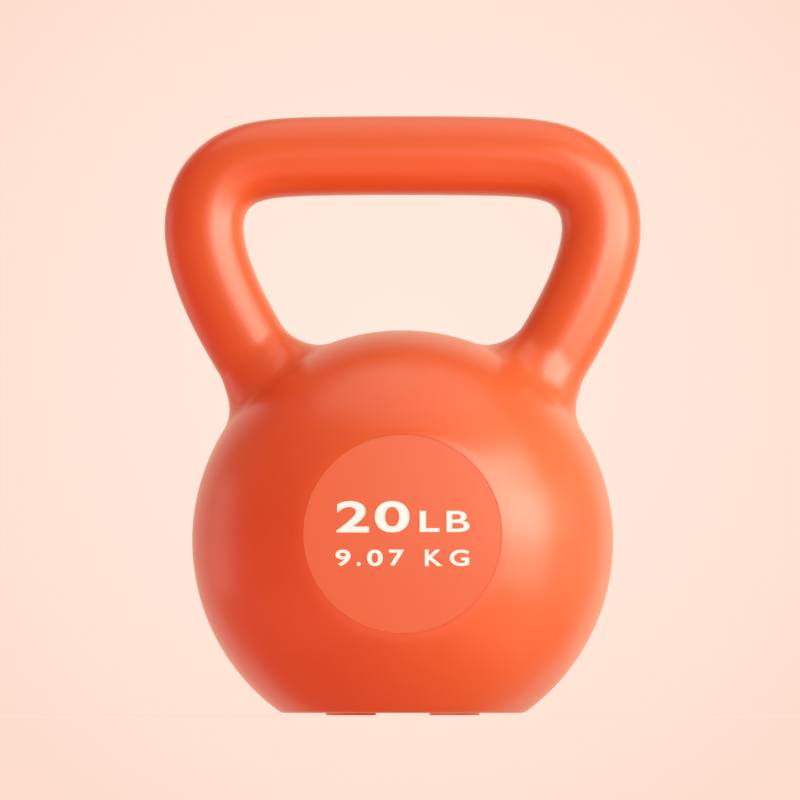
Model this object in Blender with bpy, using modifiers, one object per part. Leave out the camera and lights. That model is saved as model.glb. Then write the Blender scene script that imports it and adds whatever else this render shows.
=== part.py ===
"""Filled kettlebell: a moulded shell with bell and handle in one piece, a steel tube inside the handle,
a cast fill in the bell, a plug in the filler hole under the base, a marking disc on each flat face and
the printed weight on the front disc.

Metres, +Z up. The origin is the middle of the underside, X runs along the handle's grip and the
marked face looks along -Y. All dimensions below are in millimetres and are multiplied by MM.
"""

import math

import bmesh
import bpy
import numpy as np
from mathutils import Matrix, Vector

MM = 0.001
GAP = 0.3  # clearance between pieces that touch

# bell
BELL_R = 97.5
BASE_DROP = 79.75  # from the bell's centre down to the flat base
LAND_H = 1.0  # the plug's lands stand this far below the flat base
BELL_Z = BASE_DROP + LAND_H  # height of the bell's centre
BASE_Z = LAND_H  # height of the flat base
RIM_R = 5.0  # rounding where the bell meets the base
WALL = 3.0
BASE_WALL = 5.0

# handle: a round tube swept along a smooth curve. The control points are those of a uniform
# cubic B-spline for the right half, from the middle of the grip down to the bell, as
# (distance from the middle, height above the bell's centre).
HANDLE_R = 18.4
HANDLE_CONTROL = ((45.3, 179.5), (81.1, 177.3), (99.6, 147.1), (74.3, 88.0), (5.1, -2.6))
FLARE_START = 116.0  # distance from the bell's centre at which the leg begins to widen
FLARE_CURVE = 48.0  # radius of the widening
STEP_LONG = 30.0  # most distance between sections along the handle
STEP_TURN = 12.0  # most degrees turned between sections

# steel tube inside the handle
TUBE_R = 14.8
TUBE_WALL = 2.0
TUBE_INTO_BELL = 46.0  # how far the tube runs on past the end of the curve

# flat faces front and back, each with a disc
FACE_Y = 86.0  # distance of the disc's face from the middle
DISC_R = 44.4
DISC_T = 1.5
FACE_ROUND_R = 22.3  # rounding between the flat face and the bell
FACE_ROUND_OUT = 49.3  # where that rounding runs into the bell

# filler hole and its plug
HOLE_R = 33.0
COUNTERBORE_R = 38.0
COUNTERBORE_H = 2.0
LAND_R = 35.6
SLOT_W = 25.0  # key slot between the plug's two lands
PLUG_TOP = 8.0

# marks
PRINT_T = 0.12
PRINT_LIFT = 0.02

ORANGE = (0.86, 0.115, 0.035, 1.0)
DISC_ORANGE = (0.86, 0.150, 0.065, 1.0)
WHITE = (0.95, 0.93, 0.90, 1.0)
CEMENT = (0.42, 0.41, 0.39, 1.0)
STEEL = (0.50, 0.50, 0.51, 1.0)

for item in list(bpy.data.objects):
    bpy.data.objects.remove(item, do_unlink=True)

parts = bpy.data.collections.new("kettlebell")
cutters = bpy.data.collections.new("cutters")
for group in (parts, cutters):
    bpy.context.scene.collection.children.link(group)


def material(name, colour, roughness, metallic=0.0):
    made = bpy.data.materials.new(name)
    made.use_nodes = True
    shader = made.node_tree.nodes["Principled BSDF"]
    shader.inputs["Base Color"].default_value = colour
    shader.inputs["Roughness"].default_value = roughness
    shader.inputs["Metallic"].default_value = metallic
    return made


SHELL_MAT = material("orange_shell", ORANGE, 0.38)
PLUG_MAT = material("orange_plug", ORANGE, 0.45)
DISC_MAT = material("orange_disc", DISC_ORANGE, 0.42)
PRINT_MAT = material("white_print", WHITE, 0.5)
FILL_MAT = material("cement_fill", CEMENT, 0.95)
STEEL_MAT = material("steel_tube", STEEL, 0.35, 1.0)


def smooth(mesh, degrees=35.0):
    mesh.shade_smooth()
    mesh.set_sharp_from_angle(angle=math.radians(degrees))


def link(name, mesh, group, finish=None):
    made = bpy.data.objects.new(name, mesh)
    group.objects.link(made)
    if finish is not None:
        mesh.materials.clear()
        mesh.materials.append(finish)
    if group is cutters:
        made.hide_render = True
        made.display_type = "WIRE"
    return made


def turned(name, profile, group, finish=None, steps=64):
    """A profile of (radius, height) in mm, down its outer side and back to the axis, turned about Z."""
    mesh = bpy.data.meshes.new(name)
    shape = bmesh.new()
    ring = [shape.verts.new((r * MM, 0.0, z * MM)) for r, z in profile]
    for a, b in zip(ring, ring[1:]):
        shape.edges.new((a, b))
    if profile[0][0] > 0 or profile[-1][0] > 0:
        shape.edges.new((ring[-1], ring[0]))
    shape.to_mesh(mesh)
    shape.free()
    made = link(name, mesh, group, finish)
    screw = made.modifiers.new("turn", "SCREW")
    screw.steps = screw.render_steps = steps
    screw.use_merge_vertices = True
    screw.merge_threshold = 0.00001
    screw.use_smooth_shade = True
    return made


def settle(made, degrees=35.0):
    """Apply an object's modifiers, so that its mesh is the finished shape."""
    bpy.context.view_layer.update()
    graph = bpy.context.evaluated_depsgraph_get()
    mesh = bpy.data.meshes.new_from_object(made.evaluated_get(graph))
    made.modifiers.clear()
    made.data = mesh
    smooth(mesh, degrees)
    return made


def boolean(made, other, operation):
    cut = made.modifiers.new(operation.lower() + "_" + other.name, "BOOLEAN")
    cut.operation = operation
    cut.object = other
    cut.solver = "EXACT"
    return cut


def arc(centre, radius, start, end, count):
    """Points on an arc in (r, z), angles in degrees from the +r axis."""
    return [
        (
            centre[0] + radius * math.cos(math.radians(start + (end - start) * i / count)),
            centre[1] + radius * math.sin(math.radians(start + (end - start) * i / count)),
        )
        for i in range(count + 1)
    ]


# ---------------------------------------------------------------- handle path


def spline_point(points, t):
    i = min(int(t), len(points) - 4)
    u = t - i
    weights = (
        (1 - u) ** 3 / 6,
        (3 * u**3 - 6 * u**2 + 4) / 6,
        (-3 * u**3 + 3 * u**2 + 3 * u + 1) / 6,
        u**3 / 6,
    )
    return sum(w * np.array(points[i + k], float) for k, w in enumerate(weights))


def handle_half():
    """The right half of the handle's centre line from x = 0 to the end of the curve. Its points lie
    closer together where it turns."""
    full = [(-x, z) for x, z in reversed(HANDLE_CONTROL)] + list(HANDLE_CONTROL)
    last = len(full) - 3
    dense = np.array(
        [spline_point(full, last / 2 + last / 2 * k / 600) for k in range(601)]
    )
    step = np.diff(dense, axis=0)
    heading = np.unwrap(np.arctan2(step[:, 1], step[:, 0]))
    turn = np.degrees(np.abs(np.gradient(heading)))
    run = np.concatenate(
        [[0.0], np.cumsum(np.linalg.norm(step, axis=1) / STEP_LONG + turn / STEP_TURN)]
    )
    even = np.linspace(0.0, run[-1], math.ceil(run[-1]) + 1)
    return np.stack([np.interp(even, run, dense[:, k]) for k in (0, 1)], axis=1)


HALF = handle_half()
LEG_DIRECTION = HALF[-1] - HALF[-2]
LEG_DIRECTION = LEG_DIRECTION / np.linalg.norm(LEG_DIRECTION)
LEG_END = HALF[-1]


def handle_line(run_on, steps):
    """The whole centre line, with straight ends that run on into the bell."""
    tail = [LEG_END + LEG_DIRECTION * run_on * (k + 1) / steps for k in range(steps)]
    right = np.vstack([HALF, tail])
    left = right[:0:-1] * (-1, 1)
    return np.vstack([left, right])


def flare(point):
    short = max(0.0, FLARE_START - float(np.linalg.norm(point)))
    return short**2 / (2 * FLARE_CURVE)


def swept(name, line, radii, group, finish=None, resolution=4):
    """A round tube along the line: a curve with a bevel and filled caps, made a mesh."""
    curve = bpy.data.curves.new(name, "CURVE")
    curve.dimensions = "3D"
    curve.bevel_depth = MM
    curve.bevel_resolution = resolution
    curve.use_fill_caps = True
    spline = curve.splines.new("POLY")
    spline.points.add(len(line) - 1)
    for point, (x, z), r in zip(spline.points, line, radii):
        point.co = (x * MM, 0.0, (z + BELL_Z) * MM, 1.0)
        point.radius = r
    guide = bpy.data.objects.new(name + "_curve", curve)
    cutters.objects.link(guide)
    bpy.context.view_layer.update()
    graph = bpy.context.evaluated_depsgraph_get()
    mesh = bpy.data.meshes.new_from_object(guide.evaluated_get(graph))
    bpy.data.objects.remove(guide, do_unlink=True)
    shape = bmesh.new()
    shape.from_mesh(mesh)
    bmesh.ops.remove_doubles(shape, verts=shape.verts, dist=1e-6)
    bmesh.ops.recalc_face_normals(shape, faces=shape.faces)
    shape.to_mesh(mesh)
    shape.free()
    smooth(mesh)
    return link(name, mesh, group, finish)


# ---------------------------------------------------------------- shell


def bell_profile(radius, base_z, rim, count=24):
    """Outline of the bell from its crown down to the flat base, with a rounded rim."""
    # the rim's arc touches the sphere inside and the base plane
    drop = BELL_Z - base_z - rim
    reach = math.sqrt((radius - rim) ** 2 - drop**2)
    meet = -math.degrees(math.atan2(drop, reach))
    points = arc((0.0, BELL_Z), radius, 90.0, meet, count)
    points[0] = (0.0, BELL_Z + radius)
    points += arc((reach, base_z + rim), rim, meet, -90.0, 3)[1:]
    return points


shell = turned(
    "outer_shell",
    bell_profile(BELL_R, BASE_Z, RIM_R) + [(0.0, BASE_Z)],
    parts,
    SHELL_MAT,
    steps=56,
)
settle(shell)

outer_line = handle_line(36.0, 6)
outer_tube = swept(
    "handle_skin", outer_line, [HANDLE_R + flare(p) for p in outer_line], cutters, resolution=8
)

inner = turned(
    "shell_hollow",
    bell_profile(BELL_R - WALL, BASE_Z + BASE_WALL, RIM_R, 15)
    + [
        (HOLE_R, BASE_Z + BASE_WALL),
        (HOLE_R, BASE_Z + COUNTERBORE_H),
        (COUNTERBORE_R, BASE_Z + COUNTERBORE_H),
        (COUNTERBORE_R, -5.0),
        (0.0, -5.0),
    ],
    cutters,
    steps=36,
)
settle(inner)
inner_line = handle_line(30.0, 2)
inner_tube = swept(
    "handle_hollow", inner_line, [HANDLE_R - WALL] * len(inner_line), cutters, resolution=6
)


def face_profile(face, radius, round_r, round_out, out):
    """Outline, in (radius, distance along the axis), of the space in front of a flat face."""
    slope_out = math.asin(round_out / BELL_R)
    slope_in = math.asin(math.sin(slope_out) - (round_out - radius) / round_r)
    bottom = math.sqrt(BELL_R**2 - round_out**2)
    points = []
    for k in range(6):
        slope = slope_out + (slope_in - slope_out) * k / 5
        r = round_out - round_r * (math.sin(slope_out) - math.sin(slope))
        y = bottom + round_r * (math.cos(slope) - math.cos(slope_out))
        points.append((r, y - 0.05 * (1 - k / 5)))
    return [(0.0, out), (round_out + 14, out), (round_out + 2.2, bottom + 4)] + points


def faced(name, profile, side, group, steps=48, finish=None):
    """A shape turned about Z and laid on its side, so that its axis is Y."""
    made = settle(turned(name, profile, group, finish, steps))
    made.data.transform(Matrix.Rotation(math.radians(-90.0 * side), 4, "X"))
    made.data.transform(Matrix.Translation((0.0, 0.0, BELL_Z * MM)))
    return made


for label, side in (("front", -1), ("back", 1)):
    rounding = face_profile(FACE_Y, DISC_R + GAP, FACE_ROUND_R, FACE_ROUND_OUT, 112.0)
    cutter = faced(
        label + "_face_cutter",
        rounding
        + [
            (DISC_R + GAP, FACE_Y - DISC_T - GAP),
            (0.0, FACE_Y - DISC_T - GAP),
        ],
        side,
        cutters,
    )
    boolean(shell, cutter, "DIFFERENCE")
    stop = faced(
        label + "_inner_face",
        [(0.0, 110.0), (60.0, 110.0), (60.0, FACE_Y - DISC_T - GAP - WALL), (0.0, FACE_Y - DISC_T - GAP - WALL)],
        side,
        cutters,
        steps=36,
    )
    boolean(inner, stop, "DIFFERENCE")

boolean(shell, outer_tube, "UNION")
settle(inner)
boolean(inner, inner_tube, "UNION")
settle(inner)
boolean(shell, inner, "DIFFERENCE")
settle(shell)

# ---------------------------------------------------------------- steel tube in the handle

tube_line = handle_line(TUBE_INTO_BELL, 3)
tube = swept("handle_tube", tube_line, [TUBE_R] * len(tube_line), parts, STEEL_MAT, resolution=5)
bore_line = handle_line(TUBE_INTO_BELL + 5.0, 3)
bore = swept("tube_bore", bore_line, [TUBE_R - TUBE_WALL] * len(bore_line), cutters, resolution=5)
boolean(tube, bore, "DIFFERENCE")
settle(tube)

# ---------------------------------------------------------------- fill

FILL_R = BELL_R - WALL - 0.6
fill = turned(
    "cement_fill",
    bell_profile(FILL_R, BASE_Z + BASE_WALL + GAP, RIM_R, 15)
    + [
        (HOLE_R, BASE_Z + BASE_WALL + GAP),
        (HOLE_R, PLUG_TOP + GAP),
        (0.0, PLUG_TOP + GAP),
    ],
    parts,
    FILL_MAT,
    steps=36,
)
settle(fill)
for label, side in (("front", -1), ("back", 1)):
    trim = faced(
        label + "_fill_trim",
        [
            (0.0, 110.0),
            (60.0, 110.0),
            (60.0, FACE_Y - DISC_T - 2 * GAP - WALL),
            (0.0, FACE_Y - DISC_T - 2 * GAP - WALL),
        ],
        side,
        cutters,
        steps=36,
    )
    boolean(fill, trim, "DIFFERENCE")
# The cast fills the tube too, so it stands in a ring-shaped groove round each end of the tube.
SOCKET_R = TUBE_R + 0.5
for label, side in (("left", -1), ("right", 1)):
    line = [
        (side * (LEG_END + LEG_DIRECTION * d)[0], (LEG_END + LEG_DIRECTION * d)[1])
        for d in np.linspace(-20.0, TUBE_INTO_BELL + GAP, 3)
    ]
    socket = swept("tube_socket_" + label, line, [SOCKET_R] * 3, cutters, resolution=5)
    boolean(fill, socket, "DIFFERENCE")
core_line = handle_line(TUBE_INTO_BELL + 8.0, 3)
core = swept(
    "handle_core", core_line, [TUBE_R - TUBE_WALL - GAP] * len(core_line), cutters, resolution=5
)
boolean(fill, core, "UNION")
settle(fill)

# ---------------------------------------------------------------- base plug

plug = turned(
    "base_plug",
    [
        (0.0, PLUG_TOP),
        (HOLE_R - GAP - 0.8, PLUG_TOP),
        (HOLE_R - GAP, PLUG_TOP - 1.4),
        (HOLE_R - GAP, BASE_Z + COUNTERBORE_H - GAP),
        (COUNTERBORE_R - GAP, BASE_Z + COUNTERBORE_H - GAP),
        (COUNTERBORE_R - GAP, BASE_Z + 0.3),
        (COUNTERBORE_R - GAP - 0.3, BASE_Z),
        (LAND_R, BASE_Z),
        (LAND_R, 0.3),
        (LAND_R - 0.3, 0.0),
        (0.0, 0.0),
    ],
    parts,
    PLUG_MAT,
    steps=64,
)
settle(plug)
slot_mesh = bpy.data.meshes.new("key_slot")
shape = bmesh.new()
bmesh.ops.create_cube(shape, size=1.0)
bmesh.ops.scale(shape, vec=Vector((SLOT_W * MM, 0.1, 2 * LAND_H * MM)), verts=shape.verts)
shape.to_mesh(slot_mesh)
shape.free()
slot = link("key_slot", slot_mesh, cutters)
boolean(plug, slot, "DIFFERENCE")
settle(plug)

# ---------------------------------------------------------------- marking discs

for label, side in (("front", -1), ("back", 1)):
    faced(
        label + "_marking_disc",
        [
            (0.0, FACE_Y),
            (DISC_R - 0.25, FACE_Y),
            (DISC_R, FACE_Y - 0.25),
            (DISC_R, FACE_Y - DISC_T),
            (0.0, FACE_Y - DISC_T),
        ],
        side,
        parts,
        steps=56,
        finish=DISC_MAT,
    )

# ---------------------------------------------------------------- printed weight


def mark(name, letter, left, width, bottom, height, bold=0.022):
    """One printed character, upright on the front disc, fitted to a box in mm."""
    text = bpy.data.curves.new(name, "FONT")
    text.body = letter
    text.size = 1.0
    text.extrude = 0.5
    text.offset = bold
    text.resolution_u = 4
    guide = bpy.data.objects.new(name + "_text", text)
    cutters.objects.link(guide)
    bpy.context.view_layer.update()
    graph = bpy.context.evaluated_depsgraph_get()
    mesh = bpy.data.meshes.new_from_object(guide.evaluated_get(graph))
    bpy.data.objects.remove(guide, do_unlink=True)
    shape = bmesh.new()
    shape.from_mesh(mesh)
    bmesh.ops.remove_doubles(shape, verts=shape.verts, dist=1e-5)
    low = [min(v.co[k] for v in shape.verts) for k in range(3)]
    high = [max(v.co[k] for v in shape.verts) for k in range(3)]
    back = -(FACE_Y + PRINT_LIFT)
    for v in shape.verts:
        x = left + (v.co.x - low[0]) / (high[0] - low[0]) * width
        z = bottom + (v.co.y - low[1]) / (high[1] - low[1]) * height
        y = back - (v.co.z - low[2]) / (high[2] - low[2]) * PRINT_T
        v.co = (x * MM, y * MM, (z + BELL_Z) * MM)
    bmesh.ops.recalc_face_normals(shape, faces=shape.faces)
    shape.to_mesh(mesh)
    shape.free()
    return link(name, mesh, parts, PRINT_MAT)


# (node, character, left edge, width, bottom, height), from the disc's centre
MARKS = (
    ("mark_pounds_2", "2", -29.6, 14.6, 0.6, 14.0),
    ("mark_pounds_0", "0", -12.4, 15.4, 0.6, 14.0),
    ("mark_pounds_L", "L", 7.6, 8.8, 0.8, 9.4),
    ("mark_pounds_B", "B", 19.6, 10.2, 0.8, 9.4),
    ("mark_kilos_9", "9", -30.0, 6.8, -14.4, 7.3),
    ("mark_kilos_point", ".", -20.4, 1.7, -14.4, 1.7),
    ("mark_kilos_0", "0", -15.9, 7.0, -14.4, 7.3),
    ("mark_kilos_7", "7", -6.1, 6.8, -14.4, 7.3),
    ("mark_kilos_K", "K", 9.9, 7.9, -14.4, 7.3),
    ("mark_kilos_G", "G", 21.0, 8.6, -14.4, 7.3),
)
for name, letter, left, width, bottom, height in MARKS:
    # the B has tight inner corners, so it is emboldened less
    mark(name, letter, left, width, bottom, height, bold=0.014 if letter == "B" else 0.022)
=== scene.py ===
"""The kettlebell's looks: a fine shell with its fillets, the marking discs, the printed weight and the base plug,
with moulded-plastic materials, on a pale peach floor in soft studio light.

Lengths in the constants are in millimetres; every object is in metres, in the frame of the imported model."""

import math

import bmesh
import bpy
import numpy as np
from mathutils import Matrix, Vector


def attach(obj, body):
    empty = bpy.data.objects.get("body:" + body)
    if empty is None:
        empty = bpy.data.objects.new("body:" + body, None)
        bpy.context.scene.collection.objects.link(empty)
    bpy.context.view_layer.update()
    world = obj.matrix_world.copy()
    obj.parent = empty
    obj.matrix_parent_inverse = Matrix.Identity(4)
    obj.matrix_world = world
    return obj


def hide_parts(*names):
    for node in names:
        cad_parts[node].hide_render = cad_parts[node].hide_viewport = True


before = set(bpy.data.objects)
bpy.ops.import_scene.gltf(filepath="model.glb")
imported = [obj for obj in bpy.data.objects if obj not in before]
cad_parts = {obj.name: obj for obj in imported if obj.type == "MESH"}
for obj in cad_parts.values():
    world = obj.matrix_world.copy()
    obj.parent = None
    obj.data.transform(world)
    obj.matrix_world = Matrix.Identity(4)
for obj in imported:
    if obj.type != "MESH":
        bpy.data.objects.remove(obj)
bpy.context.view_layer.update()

MM = 0.001

# ------------------------------------------------------------------ sizes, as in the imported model

BELL_R = 97.5
BASE_DROP = 79.75
LAND_H = 1.0
BELL_Z = BASE_DROP + LAND_H
BASE_Z = LAND_H
RIM_R = 5.0
WALL = 3.0
BASE_WALL = 5.0
HANDLE_R = 18.4
HANDLE_CONTROL = np.array(
    ((45.3, 179.5), (81.1, 177.3), (99.6, 147.1), (74.3, 88.0), (5.1, -2.6))
)
BLEND_R = 17.8
FACE_Y = 86.0
DISC_R = 44.4
DISC_T = 1.5
FACE_ROUND_R = 22.3
FACE_ROUND_OUT = 49.3
HOLE_R = 33.0
COUNTERBORE_R = 38.0
COUNTERBORE_H = 2.0
LAND_R = 35.6
SLOT_W = 25.0
PLUG_TOP = 8.0
GAP = 0.3
PRINT_T = 0.12
PRINT_LIFT = 0.02

VOXEL = 1.9  # spacing of the fine shell's vertices

# ------------------------------------------------------------------ the outer surface as a distance field
# Points are in millimetres from the bell's centre. Each function gives the distance to the surface and
# the direction away from it.


def unit(v):
    return v / np.maximum(np.linalg.norm(v, axis=1, keepdims=True), 1e-9)


def rounded_cut(points, axis, sides, level, rounding):
    """A ball cut flat at a level along one axis, on one side or both, its edge rounded."""
    ball, height = BELL_R - rounding, level - rounding
    edge = math.sqrt(ball**2 - height**2)
    along = points[:, axis].copy()
    sign = np.ones_like(along)
    if sides == 2:
        sign = np.where(along < 0, -1.0, 1.0)
    elif sides == -1:
        sign = -sign
    up = along * sign
    rest = points.copy()
    rest[:, axis] = 0
    out = np.linalg.norm(rest, axis=1)
    size = np.linalg.norm(points, axis=1)
    near = points * (ball / np.maximum(size, 1e-9))[:, None]
    flat = (out <= edge) & (up > height)
    corner = ~flat & (up * ball > height * size)
    near[flat] = rest[flat]
    near[corner] = rest[corner] * (edge / np.maximum(out[corner], 1e-9))[:, None]
    near[flat | corner, axis] = (height * sign)[flat | corner]
    away = points - near
    return np.linalg.norm(away, axis=1) - rounding, unit(away)


FACE_LEVEL = math.sqrt(BELL_R**2 - FACE_ROUND_OUT**2) + FACE_ROUND_R * (
    1 - math.sqrt(1 - (FACE_ROUND_OUT / BELL_R) ** 2)
)


def bell(points):
    d1, n1 = rounded_cut(points, 1, 2, FACE_LEVEL, FACE_ROUND_R)
    d2, n2 = rounded_cut(points, 2, -1, BASE_DROP, RIM_R)
    low = (d2 > d1)[:, None]
    return np.maximum(d1, d2), np.where(low, n2, n1)


WHOLE = np.vstack([HANDLE_CONTROL[::-1] * (-1, 1), HANDLE_CONTROL])
LAST = float(len(WHOLE) - 3)


def on_path(t, order=0):
    """The handle's centre line, or its first or second derivative, at spline parameter t."""
    i = np.minimum(t.astype(int), len(WHOLE) - 4)
    u = (t - i)[:, None]
    if order == 0:
        w = ((1 - u) ** 3, 3 * u**3 - 6 * u**2 + 4, -3 * u**3 + 3 * u**2 + 3 * u + 1, u**3)
    elif order == 1:
        w = (-3 * (1 - u) ** 2, 9 * u**2 - 12 * u, -9 * u**2 + 6 * u + 3, 3 * u**2)
    else:
        w = (6 * (1 - u), 18 * u - 12, -18 * u + 6, 6 * u)
    return sum(w[k] * WHOLE[i + k] for k in range(4)) / 6


def handle(points):
    """The round tube of the handle. The nearest point of its centre line is found on a fine polyline and then refined."""
    grid = np.linspace(0, LAST, 181)
    line = on_path(grid)
    t = np.empty(len(points))
    for s in range(0, len(points), 20000):
        q = points[s : s + 20000][:, (0, 2)]
        d = ((q[:, None, :] - line[None]) ** 2).sum(-1)
        t[s : s + 20000] = grid[d.argmin(1)]
    q = points[:, (0, 2)]
    for _ in range(4):
        c, c1, c2 = on_path(t), on_path(t, 1), on_path(t, 2)
        off = q - c
        slope = -(off * c1).sum(1)
        bend = (c1**2).sum(1) - (off * c2).sum(1)
        step = np.where(bend > 1e-6, slope / np.maximum(bend, 1e-6), 0)
        t = np.clip(t - np.clip(step, -0.02, 0.02), 0, LAST - 1e-9)
    c = on_path(t)
    away = np.stack([points[:, 0] - c[:, 0], points[:, 1], points[:, 2] - c[:, 1]], 1)
    return np.linalg.norm(away, axis=1) - HANDLE_R, unit(away)


def outer(points):
    """Bell and handle with a fillet between them: distance and gradient."""
    d1, n1 = bell(points)
    d2, n2 = handle(points)
    u1, u2 = np.maximum(BLEND_R - d1, 0), np.maximum(BLEND_R - d2, 0)
    size = np.hypot(u1, u2)
    joined = (u1 > 0) & (u2 > 0)
    d = np.maximum(BLEND_R, np.minimum(d1, d2)) - size
    n = np.where((d1 < d2)[:, None], n1, n2)
    mixed = (u1[:, None] * n1 + u2[:, None] * n2) / np.maximum(size, 1e-9)[:, None]
    return d, np.where(joined[:, None], mixed, n)


def onto_surface(points, times=3):
    for _ in range(times):
        d, n = outer(points)
        points = points - n * (d / np.maximum((n**2).sum(1), 1e-3))[:, None]
    return points


# ------------------------------------------------------------------ mesh helpers


def link(name, mesh):
    made = bpy.data.objects.new(name, mesh)
    bpy.context.scene.collection.objects.link(made)
    return made


def finished(made):
    """Applies an object's modifiers."""
    bpy.context.view_layer.update()
    graph = bpy.context.evaluated_depsgraph_get()
    mesh = bpy.data.meshes.new_from_object(made.evaluated_get(graph))
    made.modifiers.clear()
    old, made.data = made.data, mesh
    bpy.data.meshes.remove(old)
    return made


def remove(made):
    mesh = made.data
    bpy.data.objects.remove(made, do_unlink=True)
    bpy.data.meshes.remove(mesh)


def boolean(made, other, operation, solver="MANIFOLD"):
    cut = made.modifiers.new(operation.lower(), "BOOLEAN")
    cut.operation, cut.object, cut.solver = operation, other, solver
    before = len(made.data.polygons)
    finished(made)
    if not made.data.polygons or (operation == "DIFFERENCE" and len(made.data.polygons) == before):
        raise RuntimeError(f"{made.name}: the {operation} with {other.name} did nothing")
    remove(other)
    return made


def turned(name, profile, steps=256, turn=None):
    """A closed profile of (radius, height) in mm turned about Z, then moved by a matrix."""
    mesh = bpy.data.meshes.new(name)
    shape = bmesh.new()
    count = len(profile)
    rings = []
    for r, z in profile:
        if r < 1e-6:
            rings.append([shape.verts.new((0, 0, z * MM))])
        else:
            rings.append(
                [
                    shape.verts.new(
                        (
                            r * MM * math.cos(2 * math.pi * k / steps),
                            r * MM * math.sin(2 * math.pi * k / steps),
                            z * MM,
                        )
                    )
                    for k in range(steps)
                ]
            )
    for a, b in zip(rings, rings[1:] + rings[:1]):
        if len(a) == 1 and len(b) == 1:
            continue
        for k in range(steps):
            n = (k + 1) % steps
            corners = [a[k % len(a)], b[k % len(b)], b[n % len(b)], a[n % len(a)]]
            seen = []
            for v in corners:
                if v not in seen:
                    seen.append(v)
            if len(seen) > 2:
                shape.faces.new(seen)
    bmesh.ops.recalc_face_normals(shape, faces=shape.faces)
    if turn is not None:
        bmesh.ops.transform(shape, matrix=turn, verts=shape.verts)
    shape.to_mesh(mesh)
    shape.free()
    return link(name, mesh)


def arc(centre, radius, start, end, count):
    return [
        (
            centre[0] + radius * math.cos(math.radians(start + (end - start) * i / count)),
            centre[1] + radius * math.sin(math.radians(start + (end - start) * i / count)),
        )
        for i in range(count + 1)
    ]


def rounded(profile, radii, steps=5):
    """A (radius, height) profile with its corners rounded; radii gives each corner's radius, 0 for sharp."""
    out = []
    n = len(profile)
    for i, (p, r) in enumerate(zip(profile, radii)):
        if r <= 0 or i in (0, n - 1):
            out.append(p)
            continue
        a, b, c = (np.array(profile[k], float) for k in (i - 1, i, i + 1))
        da, dc = (a - b) / np.linalg.norm(a - b), (c - b) / np.linalg.norm(c - b)
        half = math.acos(max(-1, min(1, float(da @ dc)))) / 2
        back = r / math.tan(half)
        start, end = b + da * back, b + dc * back
        middle = b + (da + dc) / np.linalg.norm(da + dc) * (r / math.sin(half))
        for k in range(steps + 1):
            f = k / steps
            v = (start - middle) * (1 - f) + (end - middle) * f
            v = v / np.linalg.norm(v) * r
            out.append(tuple(middle + v))
    return out


def side(which):
    """Lays a shape turned about Z on its side at the bell's height: -1 towards the front, 1 towards the back."""
    return Matrix.Translation((0, 0, BELL_Z * MM)) @ Matrix.Rotation(
        math.radians(-90.0 * which), 4, "X"
    )


def swept(name, line, radius, sides=32):
    """A round closed tube along a line of (x, z) points in the plane y = 0, in mm from the bell's centre."""
    line = np.asarray(line, float)
    tangent = np.gradient(line, axis=0)
    tangent /= np.linalg.norm(tangent, axis=1, keepdims=True)
    mesh = bpy.data.meshes.new(name)
    shape = bmesh.new()
    rings = []
    for (x, z), (tx, tz) in zip(line, tangent):
        rings.append(
            [
                shape.verts.new(
                    (
                        (x - tz * radius * math.cos(a)) * MM,
                        radius * math.sin(a) * MM,
                        (z + tx * radius * math.cos(a) + BELL_Z) * MM,
                    )
                )
                for a in (2 * math.pi * k / sides for k in range(sides))
            ]
        )
    for a, b in zip(rings, rings[1:]):
        for k in range(sides):
            n = (k + 1) % sides
            shape.faces.new((a[k], b[k], b[n], a[n]))
    shape.faces.new(rings[0])
    shape.faces.new(rings[-1])
    bmesh.ops.recalc_face_normals(shape, faces=shape.faces)
    shape.to_mesh(mesh)
    shape.free()
    return link(name, mesh)


# ------------------------------------------------------------------ the shell


def rough_body():
    """Bell and handle, overlapping, remeshed into one even skin of quads."""
    mesh = bpy.data.meshes.new("rough")
    shape = bmesh.new()
    bmesh.ops.create_uvsphere(shape, u_segments=96, v_segments=64, radius=BELL_R * MM)
    bmesh.ops.translate(shape, verts=shape.verts, vec=(0, 0, BELL_Z * MM))
    shape.to_mesh(mesh)
    shape.free()
    body = link("rough_body", mesh)
    line = on_path(np.linspace(0, LAST - 1e-9, 90))
    for end in (0, -1):
        away = line[end] * 0.35
        line = np.vstack([[away], line]) if end == 0 else np.vstack([line, [away]])
    tube = swept("rough_handle", line, HANDLE_R, 48)
    boolean(body, tube, "UNION")
    skin = body.modifiers.new("remesh", "REMESH")
    skin.mode, skin.voxel_size, skin.adaptivity = "VOXEL", VOXEL * MM, 0.0
    return finished(body)


def even_skin(body):
    """Moves the skin's vertices onto the exact surface and spreads them evenly over it."""
    mesh = body.data
    count = len(mesh.vertices)
    points = np.empty(count * 3, np.float32)
    mesh.vertices.foreach_get("co", points)
    points = points.reshape(-1, 3).astype(float) / MM - (0, 0, BELL_Z)
    edges = np.empty(len(mesh.edges) * 2, np.int32)
    mesh.edges.foreach_get("vertices", edges)
    a, b = edges.reshape(-1, 2).T
    degree = np.bincount(np.concatenate([a, b]), minlength=count)[:, None]
    points = onto_surface(points, 4)
    for _ in range(12):
        total = np.stack(
            [
                np.bincount(a, weights=points[b, k], minlength=count)
                + np.bincount(b, weights=points[a, k], minlength=count)
                for k in range(3)
            ],
            1,
        )
        _, n = outer(points)
        n = unit(n)
        move = total / degree - points
        move -= n * (move * n).sum(1)[:, None]
        points = onto_surface(points + 0.6 * move, 1)
    points = onto_surface(points, 2)
    points = (points + (0, 0, BELL_Z)) * MM
    mesh.vertices.foreach_set("co", points.astype(np.float32).ravel())
    mesh.update()
    return body


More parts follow.
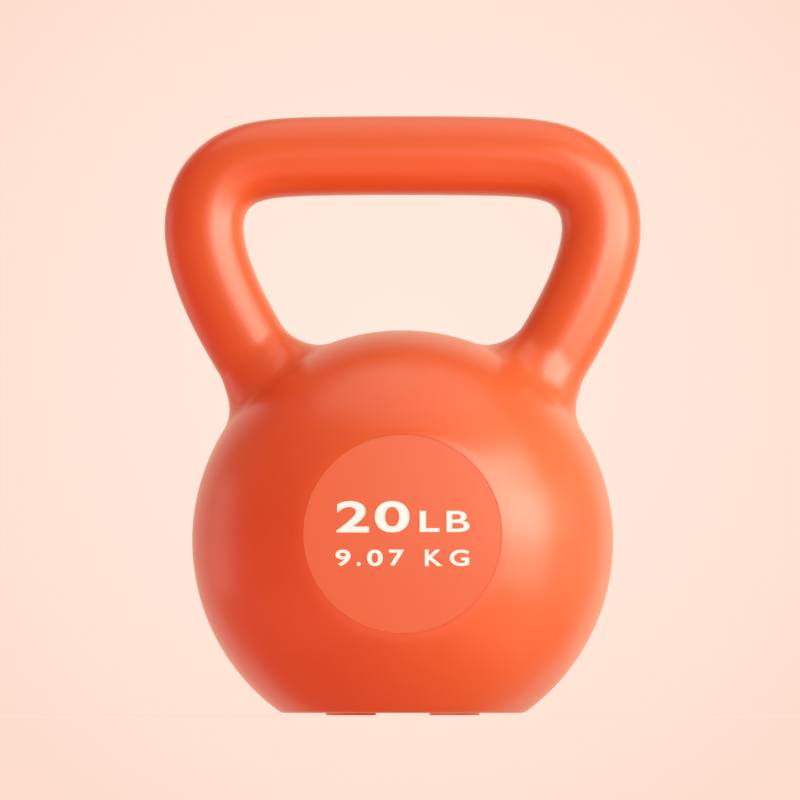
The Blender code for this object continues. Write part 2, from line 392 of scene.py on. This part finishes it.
def hollow():
    """The space inside the shell: bell, handle bore and filler hole."""
    ball = BELL_R - WALL
    floor = BASE_WALL - BASE_DROP
    top = [(0.0, BELL_Z + ball)] + arc(
        (0.0, BELL_Z), ball, 89.0, math.degrees(math.asin(floor / ball)), 60
    )
    inner = turned(
        "hollow",
        top
        + [
            (HOLE_R, BELL_Z + floor),
            (HOLE_R, BASE_Z + COUNTERBORE_H),
            (COUNTERBORE_R, BASE_Z + COUNTERBORE_H),
            (COUNTERBORE_R, -5.0),
            (0.0, -5.0),
        ],
        steps=128,
    )
    for which in (-1, 1):
        stop = turned(
            "stop",
            [(0.0, 110.0), (60.0, 110.0), (60.0, FACE_Y - DISC_T - GAP - WALL), (0.0, FACE_Y - DISC_T - GAP - WALL)],
            steps=64,
            turn=side(which),
        )
        boolean(inner, stop, "DIFFERENCE")
    line = on_path(np.linspace(0, LAST - 1e-9, 90))
    for end in (0, -1):
        away = line[end] * 0.72
        line = np.vstack([[away], line]) if end == 0 else np.vstack([line, [away]])
    return boolean(inner, swept("bore", line, HANDLE_R - WALL, 32), "UNION")


def outer_normals(made, degrees=30.0):
    """Shades the outer surface by its exact direction, and the rest smooth between its sharp edges."""
    mesh = made.data
    mesh.shade_smooth()
    mesh.set_sharp_from_angle(angle=math.radians(degrees))
    count = len(mesh.vertices)
    points = np.empty(count * 3, np.float32)
    mesh.vertices.foreach_get("co", points)
    points = points.reshape(-1, 3).astype(float) / MM - (0, 0, BELL_Z)
    d, n = outer(points)
    n = unit(n)
    loops = np.empty(len(mesh.loops), np.int32)
    mesh.loops.foreach_get("vertex_index", loops)
    corner = np.empty(len(mesh.loops) * 3, np.float32)
    mesh.corner_normals.foreach_get("vector", corner)
    corner = corner.reshape(-1, 3).astype(float)
    totals = np.empty(len(mesh.polygons), np.int32)
    mesh.polygons.foreach_get("loop_total", totals)
    flat = np.empty(len(mesh.polygons) * 3, np.float32)
    mesh.polygons.foreach_get("normal", flat)
    flat = np.repeat(flat.reshape(-1, 3).astype(float), totals, axis=0)
    true = n[loops]
    exact = (np.abs(d[loops]) < 0.12) & ((flat * true).sum(1) > 0.93)
    corner[exact] = true[exact]
    mesh.normals_split_custom_set([tuple(v) for v in corner])
    return made


shell = even_skin(rough_body())
shell.name = "shell"
for which in (-1, 1):
    recess = turned(
        "recess",
        [
            (0.0, 120.0),
            (DISC_R + 0.03, 120.0),
            (DISC_R + 0.03, FACE_Y - DISC_T - GAP),
            (0.0, FACE_Y - DISC_T - GAP),
        ],
        turn=side(which),
    )
    boolean(shell, recess, "DIFFERENCE")
boolean(shell, hollow(), "DIFFERENCE")
shell.data.transform(Matrix.Diagonal((0.9998, 0.9989, 1.0, 1.0)))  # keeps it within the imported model's box
outer_normals(shell)
shell.data.name = "shell"

# ------------------------------------------------------------------ discs

discs = {}
for label, which in (("front", -1), ("back", 1)):
    profile = rounded(
        [
            (0.0, FACE_Y),
            (DISC_R, FACE_Y),
            (DISC_R, FACE_Y - DISC_T),
            (0.0, FACE_Y - DISC_T),
        ],
        [0, 0.1, 0.1, 0],
    )
    disc = turned(label + "_disc", profile, steps=256, turn=side(which))
    disc.data.shade_smooth()
    disc.data.set_sharp_from_angle(angle=math.radians(35))
    discs[label] = disc

# ------------------------------------------------------------------ base plug

plug = turned(
    "plug",
    rounded(
        [
            (0.0, PLUG_TOP),
            (HOLE_R - GAP, PLUG_TOP),
            (HOLE_R - GAP, BASE_Z + COUNTERBORE_H - GAP),
            (COUNTERBORE_R - GAP, BASE_Z + COUNTERBORE_H - GAP),
            (COUNTERBORE_R - GAP, BASE_Z),
            (LAND_R, BASE_Z),
            (LAND_R, 0.0),
            (0.0, 0.0),
        ],
        [0, 1.2, 0, 0.2, 0.4, 0.15, 0.35, 0],
    ),
    steps=192,
)
slot_mesh = bpy.data.meshes.new("slot")
slot_shape = bmesh.new()
bmesh.ops.create_cube(slot_shape, size=1.0)
bmesh.ops.scale(
    slot_shape, vec=(SLOT_W * MM, 0.12, 2 * LAND_H * MM), verts=slot_shape.verts
)
bmesh.ops.bevel(
    slot_shape,
    geom=[e for e in slot_shape.edges if abs(e.verts[0].co.y - e.verts[1].co.y) > 0.05 and e.verts[0].co.z > 0],
    offset=0.35 * MM,
    segments=4,
    affect="EDGES",
    profile=0.5,
)
slot_shape.to_mesh(slot_mesh)
slot_shape.free()
boolean(plug, link("slot", slot_mesh), "DIFFERENCE")
plug.data.shade_smooth()
plug.data.set_sharp_from_angle(angle=math.radians(35))

# ------------------------------------------------------------------ printed weight

MARKS = (
    ("mark_pounds_2", "2", -29.6, 14.6, 0.6, 14.0),
    ("mark_pounds_0", "0", -12.4, 15.4, 0.6, 14.0),
    ("mark_pounds_L", "L", 7.6, 8.8, 0.8, 9.4),
    ("mark_pounds_B", "B", 19.6, 10.2, 0.8, 9.4),
    ("mark_kilos_9", "9", -30.0, 6.8, -14.4, 7.3),
    ("mark_kilos_point", ".", -20.4, 1.7, -14.4, 1.7),
    ("mark_kilos_0", "0", -15.9, 7.0, -14.4, 7.3),
    ("mark_kilos_7", "7", -6.1, 6.8, -14.4, 7.3),
    ("mark_kilos_K", "K", 9.9, 7.9, -14.4, 7.3),
    ("mark_kilos_G", "G", 21.0, 8.6, -14.4, 7.3),
)


def mark(name, letter, left, width, bottom, height, bold):
    text = bpy.data.curves.new(name, "FONT")
    text.body = letter
    text.size, text.extrude, text.offset, text.resolution_u = 1.0, 0.5, bold, 12
    guide = link(name + "_text", text)
    bpy.context.view_layer.update()
    graph = bpy.context.evaluated_depsgraph_get()
    mesh = bpy.data.meshes.new_from_object(guide.evaluated_get(graph))
    bpy.data.objects.remove(guide, do_unlink=True)
    shape = bmesh.new()
    shape.from_mesh(mesh)
    bmesh.ops.remove_doubles(shape, verts=shape.verts, dist=1e-5)
    low = [min(v.co[k] for v in shape.verts) for k in range(3)]
    high = [max(v.co[k] for v in shape.verts) for k in range(3)]
    for v in shape.verts:
        x = left + (v.co.x - low[0]) / (high[0] - low[0]) * width
        z = bottom + (v.co.y - low[1]) / (high[1] - low[1]) * height
        y = -(FACE_Y + PRINT_LIFT) - (v.co.z - low[2]) / (high[2] - low[2]) * PRINT_T
        v.co = (x * MM, y * MM, (z + BELL_Z) * MM)
    bmesh.ops.recalc_face_normals(shape, faces=shape.faces)
    shape.to_mesh(mesh)
    shape.free()
    return link(name.replace("mark", "print"), mesh)


prints = {
    name: mark(name, *rest, bold=0.010 if rest[0] == "B" else 0.022)
    for name, *rest in MARKS
}

# ------------------------------------------------------------------ materials


def srgb(r, g, b):
    def line(c):
        c /= 255.0
        return c / 12.92 if c <= 0.04045 else ((c + 0.055) / 1.055) ** 2.4

    return (line(r), line(g), line(b), 1.0)


class Look:
    """A Principled material with a few helpers for its nodes."""

    def __init__(self, name):
        self.mat = bpy.data.materials.new(name)
        self.mat.use_nodes = True
        self.tree = self.mat.node_tree
        self.shader = self.tree.nodes["Principled BSDF"]
        self.where = self.node("ShaderNodeTexCoord").outputs["Object"]

    def node(self, kind, **values):
        made = self.tree.nodes.new(kind)
        for key, value in values.items():
            setattr(made, key, value)
        return made

    def set(self, **values):
        for key, value in values.items():
            self.shader.inputs[key.replace("_", " ")].default_value = value
        return self

    def wire(self, a, b):
        self.tree.links.new(a, b)

    def noise(self, scale, detail=2.0, roughness=0.5):
        made = self.node("ShaderNodeTexNoise")
        self.wire(self.where, made.inputs["Vector"])
        made.inputs["Scale"].default_value = scale
        made.inputs["Detail"].default_value = detail
        made.inputs["Roughness"].default_value = roughness
        return made.outputs["Fac"]

    def ranged(self, value, low, high, start=0.3, end=0.7):
        made = self.node("ShaderNodeMapRange")
        self.wire(value, made.inputs["Value"])
        for key, number in (("From Min", start), ("From Max", end), ("To Min", low), ("To Max", high)):
            made.inputs[key].default_value = number
        return made.outputs["Result"]

    def colours(self, value, a, b):
        made = self.node("ShaderNodeMix", data_type="RGBA")
        self.wire(value, made.inputs["Factor"])
        made.inputs["A"].default_value = a
        made.inputs["B"].default_value = b
        return made.outputs["Result"]

    def bump(self, height, strength, distance, under=None):
        made = self.node("ShaderNodeBump")
        made.inputs["Strength"].default_value = strength
        made.inputs["Distance"].default_value = distance
        self.wire(height, made.inputs["Height"])
        if under is not None:
            self.wire(under, made.inputs["Normal"])
        return made.outputs["Normal"]


def moulded(name, colour, darker, roughness):
    look = Look(name)
    look.wire(
        look.colours(look.ranged(look.noise(9.0, 3.0), 0.0, 1.0), colour, darker),
        look.shader.inputs["Base Color"],
    )
    look.wire(
        look.ranged(look.noise(45.0, 3.0), roughness - 0.02, roughness + 0.02),
        look.shader.inputs["Roughness"],
    )
    grain = look.bump(look.noise(1400.0, 2.0), 0.05, 0.0001)
    normal = look.bump(look.noise(55.0, 1.0), 0.04, 0.0006, grain)
    look.wire(normal, look.shader.inputs["Normal"])
    look.set(IOR=1.5, Specular_IOR_Level=1.0)
    return look


ORANGE = (0.69, 0.1255, 0.0312, 1.0)
ORANGE_DARK = (0.67, 0.1220, 0.0303, 1.0)
DISC = (0.695, 0.170, 0.073, 1.0)
DISC_DARK = (0.680, 0.166, 0.071, 1.0)

shell_look = moulded("moulded_orange", ORANGE, ORANGE_DARK, 0.30)
plug_look = moulded("plug_orange", ORANGE, ORANGE_DARK, 0.36)
disc_look = moulded("disc_orange", DISC, DISC_DARK, 0.30)

ink = Look("white_ink_with_painted_glow")
ink.wire(
    ink.colours(ink.noise(60.0), (0.93, 0.96, 1.0, 1), (0.95, 0.98, 1.0, 1)),
    ink.shader.inputs["Base Color"],
)
ink.wire(ink.ranged(ink.noise(300.0), 0.45, 0.55), ink.shader.inputs["Roughness"])
ink.set(Emission_Color=(0.5, 0.85, 1.0, 1.0), Emission_Strength=0.13)  # painted glow: the ink gives off a little bluish white light of its own, so it looks whiter than its lighting makes it

cement = Look("cement")
cement.wire(
    cement.colours(cement.noise(120.0, 6.0, 0.7), (0.36, 0.35, 0.33, 1), (0.55, 0.54, 0.51, 1)),
    cement.shader.inputs["Base Color"],
)
cement.set(Roughness=0.95)
cement.wire(cement.bump(cement.noise(400.0, 6.0, 0.7), 0.6, 0.0006), cement.shader.inputs["Normal"])

steel = Look("drawn_steel")
steel.wire(
    steel.colours(steel.noise(40.0, 4.0), (0.48, 0.48, 0.49, 1), (0.60, 0.60, 0.61, 1)),
    steel.shader.inputs["Base Color"],
)
steel.set(Metallic=1.0)
steel.wire(steel.ranged(steel.noise(500.0, 4.0), 0.28, 0.42), steel.shader.inputs["Roughness"])


def wear(made, look):
    made.data.materials.clear()
    made.data.materials.append(look.mat)


wear(shell, shell_look)
wear(plug, plug_look)
for disc in discs.values():
    wear(disc, disc_look)
for made in prints.values():
    wear(made, ink)
for node, look in (("cement_fill", cement), ("handle_tube", steel)):
    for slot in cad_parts[node].material_slots:
        slot.material = look.mat

# ------------------------------------------------------------------ what each piece stands for

for made, node, finish in (
    (shell, "outer_shell", "orange_shell"),
    (plug, "base_plug", "orange_plug"),
    (discs["front"], "front_marking_disc", "orange_disc"),
    (discs["back"], "back_marking_disc", "orange_disc"),
    *((made, name, "white_print") for name, made in prints.items()),
):
    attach(made, "root")
    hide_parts(node)

# ------------------------------------------------------------------ floor, backdrop and surroundings


def glowing(name, seen, cast, matte=None):
    """A material that the camera sees in colours set by distance from its object's origin and the object is lit by
    in another, with a little matte surface that catches its shadow. On the backdrop these colours are a painted pool
    of light, brighter at the middle."""
    made = bpy.data.materials.new(name)
    made.use_nodes = True
    tree = made.node_tree
    tree.nodes.clear()
    out = tree.nodes.new("ShaderNodeOutputMaterial")
    path = tree.nodes.new("ShaderNodeLightPath")
    shown, lit = tree.nodes.new("ShaderNodeEmission"), tree.nodes.new("ShaderNodeEmission")
    lit.inputs["Color"].default_value = cast
    where = tree.nodes.new("ShaderNodeTexCoord")
    far = tree.nodes.new("ShaderNodeVectorMath")
    far.operation = "LENGTH"
    tree.links.new(where.outputs["Object"], far.inputs[0])
    ramp = tree.nodes.new("ShaderNodeValToRGB")
    ramp.color_ramp.interpolation = "B_SPLINE"
    tree.links.new(far.outputs["Value"], ramp.inputs["Fac"])
    # the camera's colour follows these stops by distance from the object's origin; on the backdrop they paint a pool
    # of light, brighter at the middle and darker outwards
    for i, (at, colour) in enumerate(seen):
        stop = ramp.color_ramp.elements[i] if i < 2 else ramp.color_ramp.elements.new(at)
        stop.position, stop.color = at, colour
    tree.links.new(ramp.outputs["Color"], shown.inputs["Color"])
    bright = shown.outputs[0]
    if matte is not None:
        fade = tree.nodes.new("ShaderNodeMapRange")
        fade.inputs["From Min"].default_value, fade.inputs["From Max"].default_value = 0.25, 0.8
        fade.inputs["To Min"].default_value, fade.inputs["To Max"].default_value = matte, 0.0
        tree.links.new(far.outputs["Value"], fade.inputs["Value"])
        dull = tree.nodes.new("ShaderNodeBsdfDiffuse")
        dull.inputs["Color"].default_value = PALE
        both = tree.nodes.new("ShaderNodeMixShader")
        tree.links.new(fade.outputs["Result"], both.inputs["Fac"])
        tree.links.new(bright, both.inputs[1])
        tree.links.new(dull.outputs[0], both.inputs[2])
        # clear from below, so that the base can be looked at
        face = tree.nodes.new("ShaderNodeNewGeometry")
        clear = tree.nodes.new("ShaderNodeBsdfTransparent")
        one_way = tree.nodes.new("ShaderNodeMixShader")
        tree.links.new(face.outputs["Backfacing"], one_way.inputs["Fac"])
        tree.links.new(both.outputs[0], one_way.inputs[1])
        tree.links.new(clear.outputs[0], one_way.inputs[2])
        bright = one_way.outputs[0]
    mix = tree.nodes.new("ShaderNodeMixShader")
    tree.links.new(path.outputs["Is Camera Ray"], mix.inputs["Fac"])
    tree.links.new(lit.outputs[0], mix.inputs[1])
    tree.links.new(bright, mix.inputs[2])
    tree.links.new(mix.outputs[0], out.inputs["Surface"])
    return made


PALE = srgb(255, 227, 212)

floor_mesh = bpy.data.meshes.new("floor")
shape = bmesh.new()
bmesh.ops.create_circle(shape, cap_ends=True, segments=96, radius=0.9)
for face in shape.faces:
    if face.normal.z < 0:
        face.normal_flip()
shape.to_mesh(floor_mesh)
shape.free()
floor = link("floor", floor_mesh)
floor.location = (0, 0, -0.0002)
for kind in ("diffuse", "glossy", "transmission", "shadow"):
    setattr(floor, "visible_" + kind, False)
floor_mesh.materials.append(
    glowing("peach_floor", ((0.0, PALE), (1.0, PALE)), (0.64, 0.21, 0.11, 1), matte=0.15)
)

wall_mesh = bpy.data.meshes.new("wall")
shape = bmesh.new()
bmesh.ops.create_grid(shape, x_segments=1, y_segments=1, size=3.0)
shape.to_mesh(wall_mesh)
shape.free()
wall = link("backdrop", wall_mesh)
wall.location = (0, 3.0, 0.38)
wall.rotation_euler = (math.radians(90), 0, 0)
# painted pool of light: the backdrop's colour is brighter at its middle and darker towards its edges
wall_mesh.materials.append(
    glowing(
        "peach_backdrop_painted_light_pool",
        (
            (0.05, srgb(253, 236, 223)),
            (0.62, srgb(252, 220, 203)),
            (0.25, srgb(254, 231, 217)),
            (0.45, srgb(255, 227, 212)),
        ),
        (0.85, 0.62, 0.52, 1),
    )
)

world = bpy.data.worlds.new("studio")
bpy.context.scene.world = world
world.use_nodes = True
tree = world.node_tree
tree.nodes.clear()
out = tree.nodes.new("ShaderNodeOutputWorld")
seen = tree.nodes.new("ShaderNodeBackground")
seen.inputs["Color"].default_value = PALE
fill = tree.nodes.new("ShaderNodeBackground")
where = tree.nodes.new("ShaderNodeTexCoord")
split = tree.nodes.new("ShaderNodeSeparateXYZ")
below = tree.nodes.new("ShaderNodeMath")
below.operation = "LESS_THAN"
below.inputs[1].default_value = 0.0
bounce = tree.nodes.new("ShaderNodeMix")
bounce.data_type = "RGBA"
bounce.inputs["A"].default_value = (0.41, 0.155, 0.09, 1)
bounce.inputs["B"].default_value = (0.74, 0.22, 0.135, 1)
tree.links.new(where.outputs["Generated"], split.inputs[0])
tree.links.new(split.outputs["Z"], below.inputs[0])
tree.links.new(below.outputs[0], bounce.inputs["Factor"])
tree.links.new(bounce.outputs["Result"], fill.inputs["Color"])
path = tree.nodes.new("ShaderNodeLightPath")
mix = tree.nodes.new("ShaderNodeMixShader")
tree.links.new(path.outputs["Is Camera Ray"], mix.inputs["Fac"])
tree.links.new(fill.outputs[0], mix.inputs[1])
tree.links.new(seen.outputs[0], mix.inputs[2])
tree.links.new(mix.outputs[0], out.inputs["Surface"])

# ------------------------------------------------------------------ light
# Each softbox: its direction round the object from the camera's side (degrees to the right) and above the floor,
# how many degrees wide and high it looks from the object, and its brightness in red, green and blue.

MIDDLE = Vector((0.0, 0.0, 0.13))
LIGHT_DISTANCE = 1.3
SOFTBOXES = {
    "key_near_high": (28, 28, 22, 20, (2.60, 2.50, 2.18)),
    "key_middle_high": (50, 28, 22, 20, (3.40, 3.30, 2.80)),
    "key_far_high": (72, 28, 22, 20, (2.65, 2.60, 2.20)),
    "key_near": (28, 8, 22, 20, (4.10, 4.10, 3.55)),
    "key_middle": (50, 8, 22, 20, (3.80, 3.95, 3.40)),
    "key_far": (72, 8, 22, 20, (4.70, 4.65, 4.00)),
    "key_near_low": (28, -12, 22, 20, (0.69, 0.75, 0.65)),
    "key_middle_low": (50, -12, 22, 20, (1.37, 1.50, 1.28)),
    "key_far_low": (72, -12, 22, 20, (1.93, 1.95, 1.65)),
    "key_side": (94, 8, 22, 20, (0.66, 0.75, 0.65)),
    "key_side_low": (94, -12, 22, 20, (0.21, 0.30, 0.27)),
    "key_front_edge": (8, 8, 22, 20, (0.48, 0.50, 0.52)),
    "left_panel": (-115, 0, 23, 33, (0.60, 0.60, 0.54)),
    "left_wide": (-115, 0, 50, 70, (0.17, 0.08, 0.07)),
    "left_fill": (-62, 8, 70, 60, (0.27, 0.01, 0.01)),
    "right_back": (128, 8, 50, 60, (0.16, 0.38, 0.27)),
    "back": (180, 8, 55, 60, (0.26, 0.25, 0.12)),
    "low_left": (-60, -38, 60, 30, (0.63, 0.12, 0.06)),
    "low_front": (0, -38, 60, 30, (0.50, 0.20, 0.20)),
    "low_right": (60, -38, 60, 30, (0.20, 0.29, 0.24)),
    "low_back_right": (120, -38, 60, 30, (0.09, 0.16, 0.11)),
    "high_left": (-110, 52, 70, 26, (0.50, 0.02, 0.05)),
    "high_front": (0, 52, 90, 26, (0.05, 0.03, 0.06)),
    "high_right": (65, 52, 40, 26, (0.06, 0.31, 0.29)),
    "high_back_right": (130, 52, 70, 26, (0.05, 0.12, 0.10)),
    "top_back_left": (-135, 78, 60, 26, (0.63, 0.41, 0.35)),
    "top_front_left": (-45, 78, 60, 26, (0.42, 0.27, 0.25)),
    "top_front_right": (45, 78, 60, 26, (0.27, 0.29, 0.31)),
    "top_back_right": (135, 78, 60, 26, (0.31, 0.35, 0.30)),
}


def softbox(name, azimuth, elevation, wide, high, brightness):
    a, e = math.radians(azimuth), math.radians(elevation)
    away = Vector((math.sin(a) * math.cos(e), -math.cos(a) * math.cos(e), math.sin(e)))
    width, height = (2 * LIGHT_DISTANCE * math.tan(math.radians(x / 2)) for x in (wide, high))
    data = bpy.data.lights.new(name, "AREA")
    data.shape, data.size, data.size_y = "RECTANGLE", width, height
    strongest = max(brightness)
    data.energy = math.pi * width * height * strongest
    data.color = [b / strongest for b in brightness]
    made = bpy.data.objects.new(name, data)
    bpy.context.scene.collection.objects.link(made)
    made.location = MIDDLE + away * LIGHT_DISTANCE
    made.rotation_mode = "QUATERNION"
    made.rotation_quaternion = (-away).to_track_quat("-Z", "Y")


for name, settings in SOFTBOXES.items():
    softbox(name, *settings)

# ------------------------------------------------------------------ camera

DISTANCE = 2.25
cam_data = bpy.data.cameras.new("camera")
cam_data.sensor_width = 36.0
cam_data.lens = 36.0 * 4854.9 / 800
camera = bpy.data.objects.new("camera", cam_data)
bpy.context.scene.collection.objects.link(camera)
camera.location = (0.0, -DISTANCE, BASE_Z * MM)
tilt = math.radians(3.6888)
yaw = math.atan(2.65 / 4854.9)
camera.rotation_mode = "XYZ"
camera.rotation_euler = (math.radians(90) + tilt, 0.0, yaw)
cam_data.clip_end = 50
bpy.context.scene.camera = camera

scene = bpy.context.scene
scene.view_settings.view_transform = "Standard"
scene.view_settings.look = "None"
scene.view_settings.exposure = 0.0
scene.view_settings.gamma = 1.0
